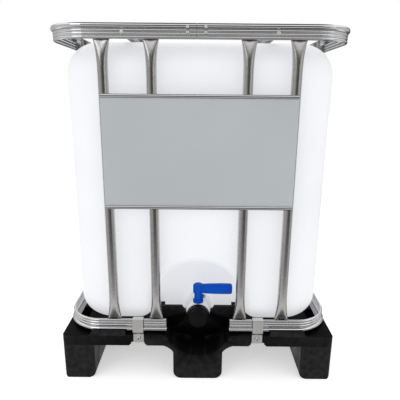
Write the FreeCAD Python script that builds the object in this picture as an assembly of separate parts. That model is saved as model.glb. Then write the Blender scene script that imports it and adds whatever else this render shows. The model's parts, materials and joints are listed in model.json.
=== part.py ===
"""Intermediate bulk container of the 600 litre class, 800 x 1200 x 1000 mm.

A blow-moulded polyethylene bottle stands on a moulded pallet inside a cage of flattened
steel tubes welded between two roll-formed rails. A butterfly valve drains it at the front.

Millimetres. +Z is up, -Y is the front, where the valve is. The origin is the centre of the
footprint on the floor. "Depth" is a distance behind the front edge of the pallet.
"""

import math
import os

import FreeCAD
import Part

Vector = FreeCAD.Vector
UP = Vector(0, 0, 1)
BACK = Vector(0, 1, 0)
RIGHT = Vector(1, 0, 0)

# ---------------------------------------------------------------- driving dimensions
PALLET_WIDTH = 800.0
PALLET_LENGTH = 1200.0
OVERALL_HEIGHT = 1000.0
FORK_CLEARANCE = 111.0  # floor to the underside of the deck
DECK_TOP = 144.0
SEAT_TOP = 149.0  # raised middle of the deck, under the cage and the bottle

GAP = 0.3  # clearance between pieces that only rest beside each other
CONTACT = 0.05  # clearance between pieces that are clamped or screwed together
RUNNING = 0.08  # radial clearance of a turning fit
OVERCUT = 1.0  # how far a cutting shape runs past the face it cuts

# pallet deck
PALLET_CORNER = 12.0
DECK_EDGE = 2.0
PERIMETER_BEAM = 26.0
SKIN = 7.0
RIB = 6.0
CELLS_BETWEEN_FEET = 3
LIP_HEIGHT = 16.0
LIP_THICKNESS = 9.0
LIP_FROM_X = 212.0
LIP_TO_X = 320.0
LIP_SLOPE = 10.0
POCKET_FROM_X = 345.0  # handling pockets in the corners of the deck
POCKET_TO_X = 383.0
POCKET_FROM_DEPTH = 60.0
POCKET_TO_DEPTH = 153.0

# pallet feet
SIDE_FOOT_WIDTH = 94.0
CENTRE_FOOT_WIDTH = 146.0
END_FOOT_LENGTH = 200.0
MIDDLE_FOOT_LENGTH = 220.0
FOOT_WALL = 8.0
FOOT_FLOOR = 10.0
FOOT_EDGE = 24.0
FOOT_CELL = 100.0  # widest hollow in a foot
DRAIN_RADIUS = 18.0
BRACE_RUN = 31.0  # web between the front beam and the centre foot
BRACE_DROP = 21.0

# well below the valve, round the valve's axis
WELL_RADIUS = 98.0
WELL_DEPTH = 96.0
WELL_ROUNDING = 15.0
WELL_RIB_DEPTH = 62.0
WELL_RIB_RADIUS = 78.0
WELL_SLOT_HALF = 21.0
YOKE_THICKNESS = 10.0
YOKE_HALF_WIDTH = 130.0
YOKE_TOP = 187.5
YOKE_NOTCH_HALF = 51.0
CRADLE_RADIUS = 39.5
CRADLE_TOP = 168.0
TROUGH_RADIUS = 47.0  # behind the yoke, below the collar nut

# rails of the cage: one roll-formed section, used both ways up
RAIL_HEIGHT = 38.0
RAIL_SHEET = 1.5
RAIL_FLANGE = 16.0
RAIL_LIP = 1.5
BEAD_RADIUS = 7.0
RIDGE_COUNT = 3
RIDGE_OUT = 2.4
RAIL_CORNER = 104.0
RAIL_INSET_X = 3.5  # from the pallet's side to the bead
RAIL_INSET_Y = 12.0
VALVE_GAP_HALF = 94.0  # half the opening in the bottom rail
SEAM_X = -8.5
SEAM_GAP = 0.8
SPLICE_HALF_LENGTH = 45.0
SPLICE_SHEET = 2.0
RIVET_RADIUS = 2.4
RIVET_HEAD_RADIUS = 3.8
RIVET_HEAD = 2.0
RIVET_TAIL = 1.5
RIVET_EDGE = 1.2
RIVET_OFFSET = 22.5
RIVET_BELOW_TOP = (10.0, 22.0)

# upright tubes
TUBE_RADIUS = 13.45
TUBE_WALL = 1.5
FLAT_WIDTH = 41.0
FLAT_THICKNESS = 11.0
FLAT_DISH = 2.6  # the outer wall of a flattened end is pressed in
FLARE_LENGTH = 100.0
TUBE_PITCH = 123.5
FRONT_TUBES = (-2, -1, 1, 2)  # in pitches from the centre; none in front of the valve
SIDE_TUBES = (-2, -1, 0, 1, 2)

# label plate
PLATE_HALF_WIDTH = 254.5
PLATE_BOTTOM = 527.0
PLATE_TOP = 831.0
PLATE_SHEET = 1.2
PLATE_HEM = 10.0
PLATE_HEM_OUT = 3.6
CLIP_WIDTH = 24.0
CLIP_SHEET = 1.5
CLIP_FROM_END = 60.0
CLIP_FOOT = 9.0

# bars over the bottle
BAR_X = 193.0
BAR_WIDTH = 30.0
BAR_HEIGHT = 16.0
BAR_SHEET = 2.0
BAR_BELOW_TOP = 3.0
TAB_SHEET = 2.5
TAB_WIDTH = 24.0
BAR_BOLT_Z = 977.0
BAR_BOLT_RADIUS = 3.0
BAR_BOLT_HEAD_RADIUS = 5.0
BAR_BOLT_HEAD = 4.0
BAR_NUT_ACROSS = 10.0
BAR_NUT_HEIGHT = 5.0

# clamps that hold the bottom rail on the pallet
CLAMP_WIDTH = 31.0
CLAMP_SHEET = 2.5
CLAMP_HOOK = 16.0
CLAMP_JOG = 6.0  # the foot of the clamp stands back this far
CLAMP_JOG_TOP = 148.0
CLAMP_JOG_BOTTOM = 139.0
CLAMP_FRONT_X = 177.0
CLAMP_SIDE_Y = 330.0
CLAMP_BOLT_Z = 125.0
CLAMP_BOLT_RADIUS = 4.0
CLAMP_BOLT_HEAD_RADIUS = 7.0
CLAMP_BOLT_HEAD = 3.5
CLAMP_NUT_ACROSS = 13.0
CLAMP_NUT_HEIGHT = 6.5
NOTCH_MARGIN = 4.0
NOTCH_FLARE = 7.0
HOLE_CLEARANCE = 0.3

# bottle
BOTTLE_WALL = 3.0
BOTTLE_TOP = 968.0
BOTTLE_CORNER = 120.0
BOTTLE_TOP_EDGE = 86.0
BOTTLE_BOTTOM_EDGE = 66.0
BOTTLE_TO_TUBE = 1.0
BOTTLE_TO_END_TUBE = 9.0
GROOVE_DEPTH = 9.5  # upright grooves in the long sides, one for each tube
GROOVE_RADIUS = 24.0
NICHE_HALF_WIDTH = 134.0
NICHE_ARCH_Z = 218.0  # height of the arch's centre
NICHE_DEPTH = 96.0
NICHE_EDGE = 26.0
NICHE_FOOT_EDGE = 10.0  # lower edge of the bottle below the outlet

# filling neck, lid and vent plug
RECESS_RADIUS = 122.0
RECESS_DEPTH = 40.0
RECESS_TAPER = 12.0
NECK_OUTER = 79.0
NECK_INNER = 71.0
LID_TOP = 978.0
LID_RADIUS = 91.0
LID_SKIRT = 34.0
LID_WALL = 6.0
LID_DISH = 9.0
LID_PLATE = 4.0
LID_EDGE = 4.0
LID_WEBS = 6
LID_GRIPS = 24
GRIP_RADIUS = 4.0
LID_GASKET = 3.0
THREAD_PITCH = 7.0
THREAD_DEPTH = 2.2
VENT_RADIUS = 26.0
VENT_HEAD_RADIUS = 34.0
VENT_HEAD = 9.0
VENT_DEPTH = 22.0
VENT_BOSS_WALL = 5.0
VENT_GASKET = 2.5

# valve, on an axis along Y
VALVE_Z = 177.0
BORE = 25.0
VALVE_OUTER = 30.0
OUTLET_NECK_RADIUS = 34.0
OUTLET_NECK_LENGTH = 24.0
VALVE_GASKET = 2.5
VALVE_FLANGE = 5.5
NUT_LENGTH = 30.0
NUT_RADIUS = 40.0
NUT_LIP = 4.5
NUT_RIBS = 12
NUT_RIB_OUT = 2.5
STEM_DEPTH = 82.0  # stem axis behind the pallet's front edge
HOUSING_RADIUS = 35.0
HOUSING_HALF_LENGTH = 12.0
OUTLET_DEPTH = 47.0  # end of the outlet thread
CAP_DEPTH = 40.0  # face of the cap
CAP_WALL = 4.0
CAP_FACE_RADIUS = 30.0
CAP_SKIRT_RADIUS = 35.3
CAP_SKIRT_END = 65.0
CAP_BEVEL = 2.0
CAP_GRIPS = 20
CAP_GRIP_RADIUS = 2.2
CAP_BORE_CLEARANCE = 0.35
LINER_HALF_LENGTH = 7.0
LINER_THICKNESS = 3.0
DISC_CLEARANCE = 0.3
DISC_HALF_THICKNESS = 2.5
DISC_HUB_RADIUS = 7.5
STEM_RADIUS = 5.0
STEM_SQUARE = 7.0
STEM_FOOT = 6.0  # stem below the bore, in its blind hole
BOSS_RADIUS = 10.0
BOSS_TOP = 217.0
SEAL_RADIUS = 1.4
SEAL_HEIGHTS = (209.0, 213.6)

# handle
HANDLE_BASE_RADIUS = 16.0
HANDLE_BASE_TOP = 221.0
HANDLE_NECK_RADIUS = 12.0
LEVER_BOTTOM = 240.5
LEVER_TOP = 271.5
LEVER_WIDTH = 22.0
LEVER_LENGTH = 104.0
LEVER_WAIST = 3.0  # how much slimmer the lever is, above and below, beside its hub
LEVER_FULL_AT = 0.7  # share of its length where it is fullest
LEVER_DROOP = 0.5  # and how much slimmer it is at its end
LEVER_EDGE = 7.0
HANDLE_HUB_RADIUS = 16.0
HANDLE_SOCKET_TOP = 252.0
RELIEF_FROM_X = 8.0
RELIEF_TO_X = 29.0
RELIEF_HEIGHT = 11.0
RELIEF_DEPTH = 4.0
SCREW_Z = 230.0
SCREW_RADIUS = 2.5
SCREW_HEAD_RADIUS = 4.5
SCREW_HEAD = 5.5
SCREW_BOSS_RADIUS = 6.5
SCREW_BOSS_X = 17.0

# ---------------------------------------------------------------- worked out from those
HALF_X = PALLET_WIDTH / 2
HALF_Y = PALLET_LENGTH / 2
FRONT = -HALF_Y
RAIL_X = HALF_X - RAIL_INSET_X  # outermost line of the bead
RAIL_Y = HALF_Y - RAIL_INSET_Y
WEB_X = RAIL_X - BEAD_RADIUS
WEB_Y = RAIL_Y - BEAD_RADIUS
TOP_RAIL_Z = OVERALL_HEIGHT - RAIL_HEIGHT
BOTTOM_RAIL_Z = SEAT_TOP
BOTTOM_RAIL_TOP = BOTTOM_RAIL_Z + RAIL_HEIGHT
# from the web to the middle of a tube, whose flat ends stand behind the rail's lip
FLAT_INSET = RAIL_SHEET + RAIL_LIP + GAP + FLAT_THICKNESS / 2
TUBE_Y = WEB_Y - FLAT_INSET
TUBE_X = WEB_X - FLAT_INSET
TUBE_BOTTOM = BOTTOM_RAIL_Z + RAIL_SHEET + GAP
TUBE_TOP = OVERALL_HEIGHT - RAIL_SHEET - GAP
GROOVE_FLOOR = TUBE_X - TUBE_RADIUS - BOTTLE_TO_TUBE
BOTTLE_X = GROOVE_FLOOR + GROOVE_DEPTH
BOTTLE_Y = TUBE_Y - TUBE_RADIUS - BOTTLE_TO_END_TUBE
BOTTLE_BOTTOM = SEAT_TOP + GAP
NICHE_BACK = -BOTTLE_Y + NICHE_DEPTH
OUTLET_NECK_END = NICHE_BACK - OUTLET_NECK_LENGTH
VALVE_REAR = OUTLET_NECK_END - VALVE_GASKET
STEM_Y = FRONT + STEM_DEPTH
NECK_FLOOR = BOTTLE_TOP - RECESS_DEPTH
NECK_TOP = LID_TOP - LID_WALL - LID_GASKET
VENT_SEAT = LID_TOP - LID_DISH + VENT_GASKET
BAR_TOP = OVERALL_HEIGHT - BAR_BELOW_TOP
BAR_BOTTOM = BAR_TOP - BAR_HEIGHT
CLAMP_OFFSETS = {
    "front": CLAMP_FRONT_X,
    "rear": CLAMP_FRONT_X,
    "left": CLAMP_SIDE_Y,
    "right": CLAMP_SIDE_Y,
}
CLAMP_SITES = [(sign * v, side) for side, v in CLAMP_OFFSETS.items() for sign in (-1, 1)]


# ---------------------------------------------------------------- small tools
def box(x0, x1, y0, y1, z0, z1):
    return Part.makeBox(x1 - x0, y1 - y0, z1 - z0, Vector(x0, y0, z0))


def upright(radius, z0, z1, x=0.0, y=0.0):
    return Part.makeCylinder(radius, z1 - z0, Vector(x, y, z0), UP)


def along_y(radius, y0, y1, x=0.0, z=VALVE_Z):
    return Part.makeCylinder(radius, y1 - y0, Vector(x, y0, z), BACK)


def join(shapes):
    first, rest = shapes[0], shapes[1:]
    return first.fuse(rest).removeSplitter() if rest else first


def polygon(points):
    return Part.Face(Part.makePolygon([Vector(*p) for p in points + [points[0]]]))


def rounded_plate(half_x, half_y, radius, z0, z1):
    """Upright prism on a rectangle with round corners."""
    plate = box(-half_x, half_x, -half_y, half_y, z0, z1)
    return plate.makeFillet(radius, edges_where(plate, is_upright))


def is_upright(edge):
    first, last = edge.Vertexes[0].Point, edge.Vertexes[-1].Point
    return abs(first.x - last.x) < 1e-6 and abs(first.y - last.y) < 1e-6


def edges_where(shape, test):
    return [e for e in shape.Edges if test(e)]


def is_flat_at_y(edge, y):
    return abs(edge.BoundBox.YMin - y) < 1e-3 and abs(edge.BoundBox.YMax - y) < 1e-3


def is_flat_at_x(edge, x):
    return abs(edge.BoundBox.XMin - x) < 1e-3 and abs(edge.BoundBox.XMax - x) < 1e-3


def within_x(edge, half):
    return edge.BoundBox.XMax < half and edge.BoundBox.XMin > -half


def at_height(z):
    return lambda e: abs(e.BoundBox.ZMin - z) < 1e-4 and abs(e.BoundBox.ZMax - z) < 1e-4


def revolve_about_y(points, z=VALVE_Z):
    """Solid of revolution about the valve's axis, from (y, radius) points."""
    face = polygon([(0, y, z + r) for y, r in points])
    return face.revolve(Vector(0, 0, z), BACK, 360)


def revolve_about_z(points):
    """Solid of revolution about the filling neck's axis, from (radius, z) points."""
    return polygon([(r, 0, z) for r, z in points]).revolve(Vector(0, 0, 0), UP, 360)


def on_side(shape, side):
    """Turns a piece modelled at the front of the pallet to another side of the cage."""
    turned = shape.copy()
    turns = {"front": 0, "rear": 180, "left": -90, "right": 90}
    turned.rotate(Vector(0, 0, 0), UP, turns[side])
    return turned


def export(name, shape):
    solids = shape.Solids
    if not solids or not all(s.isValid() for s in solids):
        raise RuntimeError(f"{name} has no valid solid")
    shape = solids[0] if len(solids) == 1 else Part.makeCompound(solids)
    shape.exportStep(f"parts/{name}.step")


# ---------------------------------------------------------------- rails
def rail_section(upside_down=False):
    """Section of the rail as points (outward from the web, height), bead at the top."""
    pitch = (RAIL_HEIGHT - 2 * BEAD_RADIUS) / RIDGE_COUNT
    bead_z = RAIL_HEIGHT - BEAD_RADIUS
    inner_bead = BEAD_RADIUS - RAIL_SHEET
    cusp = 0.1 * pitch
    inner_ridge = RIDGE_OUT - RAIL_SHEET - 0.4

    def place(out, height):
        return Vector(out, 0, RAIL_HEIGHT - height if upside_down else height)

    edges = []

    def line(a, b):
        edges.append(Part.LineSegment(place(*a), place(*b)).toShape())

    def arc(a, via, b):
        edges.append(Part.Arc(place(*a), place(*via), place(*b)).toShape())

    line((-RAIL_LIP - RAIL_SHEET, 0), (0, 0))
    for i in range(RIDGE_COUNT):
        low = i * pitch
        arc((0, low), (RIDGE_OUT, low + pitch / 2), (0, low + pitch))
    arc((0, bead_z - BEAD_RADIUS), (BEAD_RADIUS, bead_z), (0, RAIL_HEIGHT))
    line((0, RAIL_HEIGHT), (-RAIL_FLANGE, RAIL_HEIGHT))
    line((-RAIL_FLANGE, RAIL_HEIGHT), (-RAIL_FLANGE, RAIL_HEIGHT - RAIL_SHEET))
    line((-RAIL_FLANGE, RAIL_HEIGHT - RAIL_SHEET), (0, bead_z + inner_bead))
    arc((0, bead_z + inner_bead), (inner_bead, bead_z), (0, bead_z - inner_bead))
    line((0, bead_z - inner_bead), (-RAIL_SHEET, bead_z - BEAD_RADIUS - cusp))
    for i in reversed(range(RIDGE_COUNT)):
        low = i * pitch
        top = (-RAIL_SHEET, low + pitch - cusp)
        bottom = (-RAIL_SHEET, low + (cusp if i else RAIL_SHEET))
        arc(top, (inner_ridge, low + pitch / 2), bottom)
        if i:
            line(bottom, (-RAIL_SHEET, low - cusp))
    line((-RAIL_SHEET, RAIL_SHEET), (-RAIL_LIP - RAIL_SHEET, RAIL_SHEET))
    line((-RAIL_LIP - RAIL_SHEET, RAIL_SHEET), (-RAIL_LIP - RAIL_SHEET, 0))
    return Part.Face(Part.Wire(Part.sortEdges(edges)[0]))


def rail_straight(section, z, start, end, side):
    """Straight run of rail along one side of the ring, from start to end along that side."""
    turn, corner, axis = {
        "right": (0, Vector(WEB_X, start, z), BACK),
        "rear": (90, Vector(start, WEB_Y, z), RIGHT),
        "left": (180, Vector(-WEB_X, start, z), BACK),
        "front": (270, Vector(start, -WEB_Y, z), RIGHT),
    }[side]
    run = section.copy()
    run.rotate(Vector(0, 0, 0), UP, turn)
    run.translate(corner)
    return run.extrude(axis * (end - start))


def rail_corner(section, z, right, rear):
    """Quarter turn of rail at one corner of the ring."""
    bend = RAIL_CORNER - BEAD_RADIUS
    centre_x = (WEB_X - bend) * (1 if right else -1)
    centre_y = (WEB_Y - bend) * (1 if rear else -1)
    turn = section.copy()
    turn.translate(Vector(bend, 0, z))
    turn = turn.revolve(Vector(0, 0, 0), UP, 90)
    quarter = {(True, True): 0, (False, True): 90, (False, False): 180, (True, False): 270}
    turn.rotate(Vector(0, 0, 0), UP, quarter[(right, rear)])
    turn.translate(Vector(centre_x, centre_y, 0))
    return turn


def ring_of_rail(z, upside_down, gap_centre, gap_half):
    """Closed ring of rail with one gap in its front run."""
    section = rail_section(upside_down)
    end_x = WEB_X - RAIL_CORNER + BEAD_RADIUS
    end_y = WEB_Y - RAIL_CORNER + BEAD_RADIUS
    runs = [
        rail_straight(section, z, -end_x, gap_centre - gap_half, "front"),
        rail_straight(section, z, gap_centre + gap_half, end_x, "front"),
        rail_straight(section, z, -end_x, end_x, "rear"),
        rail_straight(section, z, -end_y, end_y, "left"),
        rail_straight(section, z, -end_y, end_y, "right"),
    ]
    for right in (True, False):
        for rear in (True, False):
            runs.append(rail_corner(section, z, right, rear))
    return join(runs)


def rivet_places():
    for side in (-1, 1):
        for below in RIVET_BELOW_TOP:
            yield SEAM_X + side * RIVET_OFFSET, OVERALL_HEIGHT - below


def bar_bolt_places():
    for x in (-BAR_X, BAR_X):
        for side in (-1, 1):
            yield x, side


def make_top_rail():
    rail = ring_of_rail(TOP_RAIL_Z, False, SEAM_X, SEAM_GAP / 2)
    holes = []
    for x, z in rivet_places():
        holes.append(along_y(RIVET_RADIUS + RUNNING, -RAIL_Y - 5, -WEB_Y + 10, x, z))
    for x, side in bar_bolt_places():
        hole = along_y(BAR_BOLT_RADIUS + HOLE_CLEARANCE, WEB_Y - 10, RAIL_Y + 5, x, BAR_BOLT_Z)
        holes.append(hole if side > 0 else hole.mirror(Vector(0, 0, 0), BACK))
    return rail.cut(holes)


def make_bottom_rail():
    return ring_of_rail(BOTTOM_RAIL_Z, True, 0.0, VALVE_GAP_HALF)


def make_splice():
    """Flat plate behind the seam of the top rail."""
    outer = -WEB_Y + RAIL_SHEET + GAP
    bottom, top = TOP_RAIL_Z + RAIL_SHEET + 1, OVERALL_HEIGHT - RAIL_SHEET - 1
    x0, x1 = SEAM_X - SPLICE_HALF_LENGTH, SEAM_X + SPLICE_HALF_LENGTH
    plate = box(x0, x1, outer, outer + SPLICE_SHEET, bottom, top)
    holes = [along_y(RIVET_RADIUS + RUNNING, outer - 1, outer + 4, x, z) for x, z in rivet_places()]
    return plate.cut(holes)


def make_rivets():
    inner = -WEB_Y + RAIL_SHEET + GAP + SPLICE_SHEET
    rivets = []
    for x, z in rivet_places():
        on_bead = z > OVERALL_HEIGHT - 2 * BEAD_RADIUS
        seat = -RAIL_Y if on_bead else -WEB_Y - RIDGE_OUT
        head = along_y(RIVET_HEAD_RADIUS, seat - RIVET_HEAD, seat - CONTACT, x, z)
        rim = [e for e in head.Edges if is_flat_at_y(e, seat - RIVET_HEAD)]
        head = head.makeFillet(RIVET_EDGE, rim)
        shank = along_y(RIVET_RADIUS, seat - RIVET_HEAD / 2, inner + RIVET_TAIL / 2, x, z)
        tail = along_y(RIVET_HEAD_RADIUS, inner + CONTACT, inner + RIVET_TAIL, x, z)
        rivets.append(head.fuse([shank, tail]))
    return Part.makeCompound(rivets)


# ---------------------------------------------------------------- tubes
def tube_wire(flatness, inset, z):
    """Closed section of a tube. flatness runs from 0, round, to 1, pressed flat and dished."""
    half_width = TUBE_RADIUS + (FLAT_WIDTH / 2 - TUBE_RADIUS) * flatness - inset
    half_depth = TUBE_RADIUS + (FLAT_THICKNESS / 2 - TUBE_RADIUS) * flatness - inset
    dish = FLAT_DISH * flatness
    points = []
    for k in range(24):
        angle = 2 * math.pi * k / 24
        cosine, sine = math.cos(angle), math.sin(angle)
        # a superellipse, so that the flat end keeps its depth almost to its edges
        power = 1 - 0.35 * flatness
        x = half_width * math.copysign(abs(cosine) ** power, cosine)
        y = half_depth * math.copysign(abs(sine) ** power, sine)
        if sine < 0:
            y += dish * (1 - (x / half_width) ** 2) ** 2
        points.append(Vector(x, y, z))
    curve = Part.BSplineCurve()
    curve.interpolate(points, PeriodicFlag=True)
    return Part.Wire(curve.toShape())


def tube_core(inset, z0, z1):
    """Outer or inner shape of an upright tube with two flattened ends."""
    flat_bottom = BOTTOM_RAIL_TOP + 1
    flat_top = TOP_RAIL_Z - 1
    shares = (0.0, 0.07, 0.15, 0.26, 0.42, 0.66, 1.0)
    lower = [(flat_bottom + FLARE_LENGTH * share, share) for share in shares]
    upper = [(flat_top - FLARE_LENGTH * share, share) for share in shares]

    def ease(share):
        return (1 - share) ** 3.5

    pieces = []
    for end, flare in ((z0, lower), (z1, upper[::-1])):
        wires = [tube_wire(ease(share), inset, z) for z, share in flare]
        pieces.append(Part.makeLoft(wires, True, False))
        flat_z = flat_bottom if flare is lower else flat_top
        flat = Part.Face(tube_wire(1.0, inset, flat_z))
        pieces.append(flat.extrude(Vector(0, 0, end - flat_z)))
    round_face = Part.Face(tube_wire(0.0, inset, lower[-1][0]))
    pieces.append(round_face.extrude(Vector(0, 0, upper[-1][0] - lower[-1][0])))
    return pieces[0].fuse(pieces[1:])


def make_tube():
    """One upright, centred on the Z axis, with its dished faces towards the front."""
    outer = tube_core(0.0, TUBE_BOTTOM, TUBE_TOP)
    inner = tube_core(TUBE_WALL, TUBE_BOTTOM - 1, TUBE_TOP + 1)
    return outer.cut(inner).removeSplitter()


def make_tubes():
    tube = make_tube()
    placed = {}
    layout = [("front", FRONT_TUBES, TUBE_Y), ("rear", FRONT_TUBES, TUBE_Y)]
    layout += [("left", SIDE_TUBES, TUBE_X), ("right", SIDE_TUBES, TUBE_X)]
    for side, pitches, reach in layout:
        for number, pitch in enumerate(pitches, 1):
            copy = tube.copy()
            copy.translate(Vector(pitch * TUBE_PITCH, -reach, 0))
            placed[f"tube_{side}_{number}"] = on_side(copy, side)
    return placed


# ---------------------------------------------------------------- label plate
def make_label_plate():
    """Flat sheet with a half-round hem rolled forward along its top and bottom edges."""
    back = -TUBE_Y - TUBE_RADIUS - GAP
    front = back - PLATE_SHEET
    sheet = box(
        -PLATE_HALF_WIDTH, PLATE_HALF_WIDTH, front, back, PLATE_BOTTOM + 1, PLATE_TOP - 1
    )
    hems = []
    for low in (PLATE_BOTTOM, PLATE_TOP - PLATE_HEM):
        mid = low + PLATE_HEM / 2
        outer = Part.Arc(
            Vector(0, front, low), Vector(0, front - PLATE_HEM_OUT, mid), Vector(0, front, low + PLATE_HEM)
        )
        outer_edges = [
            outer.toShape(),
            Part.LineSegment(Vector(0, front, low + PLATE_HEM), Vector(0, back, low + PLATE_HEM)).toShape(),
            Part.LineSegment(Vector(0, back, low + PLATE_HEM), Vector(0, back, low)).toShape(),
            Part.LineSegment(Vector(0, back, low), Vector(0, front, low)).toShape(),
        ]
        face = Part.Face(Part.Wire(Part.sortEdges(outer_edges)[0]))
        face.translate(Vector(-PLATE_HALF_WIDTH + 2, 0, 0))
        hems.append(face.extrude(RIGHT * (2 * PLATE_HALF_WIDTH - 4)))
    return join([sheet] + hems)


def make_label_clips():
    """Straps round the back of the inner tubes, with feet that hold the label plate."""
    plate_back = -TUBE_Y - TUBE_RADIUS - GAP
    foot_front = plate_back + CONTACT
    clear = TUBE_RADIUS + GAP
    outer = clear + CLIP_SHEET
    clips = []
    for pitch in (FRONT_TUBES[1], FRONT_TUBES[2]):
        x = pitch * TUBE_PITCH
        for z in (PLATE_BOTTOM + CLIP_FROM_END, PLATE_TOP - CLIP_FROM_END):
            z0, z1 = z - CLIP_WIDTH / 2, z + CLIP_WIDTH / 2
            strap = upright(outer, z0, z1, x, -TUBE_Y)
            front_half = box(x - outer, x + outer, foot_front, -TUBE_Y, z0, z1)
            feet = box(
                x - outer - CLIP_FOOT, x + outer + CLIP_FOOT, foot_front, foot_front + CLIP_SHEET, z0, z1
            )
            room = upright(clear, z0 - OVERCUT, z1 + OVERCUT, x, -TUBE_Y)
            slot = box(x - clear, x + clear, foot_front - OVERCUT, -TUBE_Y, z0 - OVERCUT, z1 + OVERCUT)
            in_front = box(x - outer, x + outer, -TUBE_Y - outer, foot_front, z0, z1)
            clips.append(join([strap, front_half, feet]).cut([room, slot, in_front]))
    return Part.makeCompound(clips)


# ---------------------------------------------------------------- bars over the bottle
def make_top_bar(x):
    """Channel, open downward, with a bolted tab at each end."""
    half = WEB_Y - RAIL_SHEET - GAP
    body = box(x - BAR_WIDTH / 2, x + BAR_WIDTH / 2, -half, half, BAR_BOTTOM, BAR_TOP)
    body = body.makeFillet(4.0, [e for e in body.Edges if is_along_y(e) and at_height(BAR_TOP)(e)])
    inner_half = BAR_WIDTH / 2 - BAR_SHEET
    hollow = box(x - inner_half, x + inner_half, -half, half, BAR_BOTTOM - 1, BAR_TOP - BAR_SHEET)
    hollow = hollow.makeFillet(
        2.0, [e for e in hollow.Edges if is_along_y(e) and at_height(BAR_TOP - BAR_SHEET)(e)]
    )
    pieces = [body.cut(hollow)]
    low = TOP_RAIL_Z + RAIL_SHEET + 1
    for side in (-1, 1):
        a, b = sorted((side * half, side * (half - TAB_SHEET)))
        tab = box(x - TAB_WIDTH / 2, x + TAB_WIDTH / 2, a, b, low, BAR_TOP - BAR_SHEET + 0.5)
        pieces.append(tab)
    bar = join(pieces)
    holes = [
        along_y(BAR_BOLT_RADIUS + HOLE_CLEARANCE, *sorted((side * (half + 1), side * (half - 5))), x, BAR_BOLT_Z)
        for side in (-1, 1)
    ]
    return bar.cut(holes)


def is_along_y(edge):
    size = edge.BoundBox
    return size.XLength < 1e-4 and size.ZLength < 1e-4


def hexagon_along_y(across, y0, y1, x, z):
    radius = across / math.sqrt(3)
    corners = []
    for k in range(6):
        angle = math.radians(60 * k)
        corners.append((x + radius * math.cos(angle), y0, z + radius * math.sin(angle)))
    return polygon(corners).extrude(BACK * (y1 - y0))


def make_bar_bolts():
    """Round-headed bolts from outside, through the top rail and the bar's tabs."""
    inner = WEB_Y - RAIL_SHEET - GAP - TAB_SHEET
    seat = WEB_Y + RIDGE_OUT + 0.05
    bolts = []
    for x, side in bar_bolt_places():
        head = along_y(BAR_BOLT_HEAD_RADIUS, seat, seat + BAR_BOLT_HEAD, x, BAR_BOLT_Z)
        rim = [e for e in head.Edges if is_flat_at_y(e, seat + BAR_BOLT_HEAD)]
        head = head.makeFillet(2.4, rim)
        shank = along_y(BAR_BOLT_RADIUS, inner - BAR_NUT_HEIGHT - 3, seat + 0.5, x, BAR_BOLT_Z)
        bolt = head.fuse(shank)
        bolts.append(bolt if side > 0 else bolt.mirror(Vector(0, 0, 0), BACK))
    return Part.makeCompound(bolts)


def make_bar_nuts():
    inner = WEB_Y - RAIL_SHEET - GAP - TAB_SHEET - 0.05
    nuts = []
    for x, side in bar_bolt_places():
        nut = hexagon_along_y(BAR_NUT_ACROSS, inner - BAR_NUT_HEIGHT, inner, x, BAR_BOLT_Z)
        nut = nut.cut(along_y(BAR_BOLT_RADIUS + 0.05, inner - 20, inner + 5, x, BAR_BOLT_Z))
        nuts.append(nut if side > 0 else nut.mirror(Vector(0, 0, 0), BACK))
    return Part.makeCompound(nuts)


# ---------------------------------------------------------------- clamps
def half_span(side):
    return HALF_Y if side in ("front", "rear") else HALF_X


def clamp_face(side):
    """Distance from the centre of the pallet to the back of the clamp's upper part."""
    return (RAIL_Y if side in ("front", "rear") else RAIL_X) + GAP


def clamp_foot(side):
    """Distance from the centre of the pallet to the back of the clamp's lower part."""
    return clamp_face(side) - CLAMP_JOG


def make_clamp(offset, side):
    """Bent strap: it hooks over the rail, runs down its face and stands back to the beam."""
    back, foot = -clamp_face(side), -clamp_foot(side)
    face, foot_face = back - CLAMP_SHEET, foot - CLAMP_SHEET
    top = BOTTOM_RAIL_TOP + GAP
    strap = polygon([
        (0, back + CLAMP_HOOK, top),
        (0, back + CLAMP_HOOK, top + CLAMP_SHEET),
        (0, face, top + CLAMP_SHEET),
        (0, face, CLAMP_JOG_TOP),
        (0, foot_face, CLAMP_JOG_BOTTOM),
        (0, foot_face, FORK_CLEARANCE),
        (0, foot, FORK_CLEARANCE),
        (0, foot, CLAMP_JOG_BOTTOM),
        (0, back, CLAMP_JOG_TOP),
        (0, back, top),
    ])
    strap.translate(Vector(offset - CLAMP_WIDTH / 2, 0, 0))
    strap = strap.extrude(RIGHT * CLAMP_WIDTH)
    fold = [e for e in strap.Edges if at_height(top + CLAMP_SHEET)(e) and is_flat_at_y(e, face)]
    strap = strap.makeFillet(0.9 * CLAMP_SHEET, fold)
    return strap.cut(
        along_y(CLAMP_BOLT_RADIUS + HOLE_CLEARANCE, foot_face - 1, foot + 1, offset, CLAMP_BOLT_Z)
    )


def make_clamps():
    clamps = {}
    for side in CLAMP_OFFSETS:
        offsets = [offset for offset, where in CLAMP_SITES if where == side]
        straps = [on_side(make_clamp(offset, side), side) for offset in offsets]
        clamps[f"clamps_{side}"] = Part.makeCompound(straps)
    return clamps


def beam_inner(side):
    return half_span(side) - PERIMETER_BEAM


def make_clamp_bolts():
    bolts = []
    for offset, side in CLAMP_SITES:
        seat = -clamp_foot(side) - CLAMP_SHEET - CONTACT
        head = along_y(CLAMP_BOLT_HEAD_RADIUS, seat - CLAMP_BOLT_HEAD, seat, offset, CLAMP_BOLT_Z)
        rim = [e for e in head.Edges if is_flat_at_y(e, seat - CLAMP_BOLT_HEAD)]
        head = head.makeFillet(CLAMP_BOLT_HEAD * 0.6, rim)
        end = -beam_inner(side) + CLAMP_NUT_HEIGHT + CLAMP_BOLT_RADIUS
        shank = along_y(CLAMP_BOLT_RADIUS, seat - 1, end, offset, CLAMP_BOLT_Z)
        bolts.append(on_side(head.fuse(shank), side))
    return Part.makeCompound(bolts)


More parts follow.
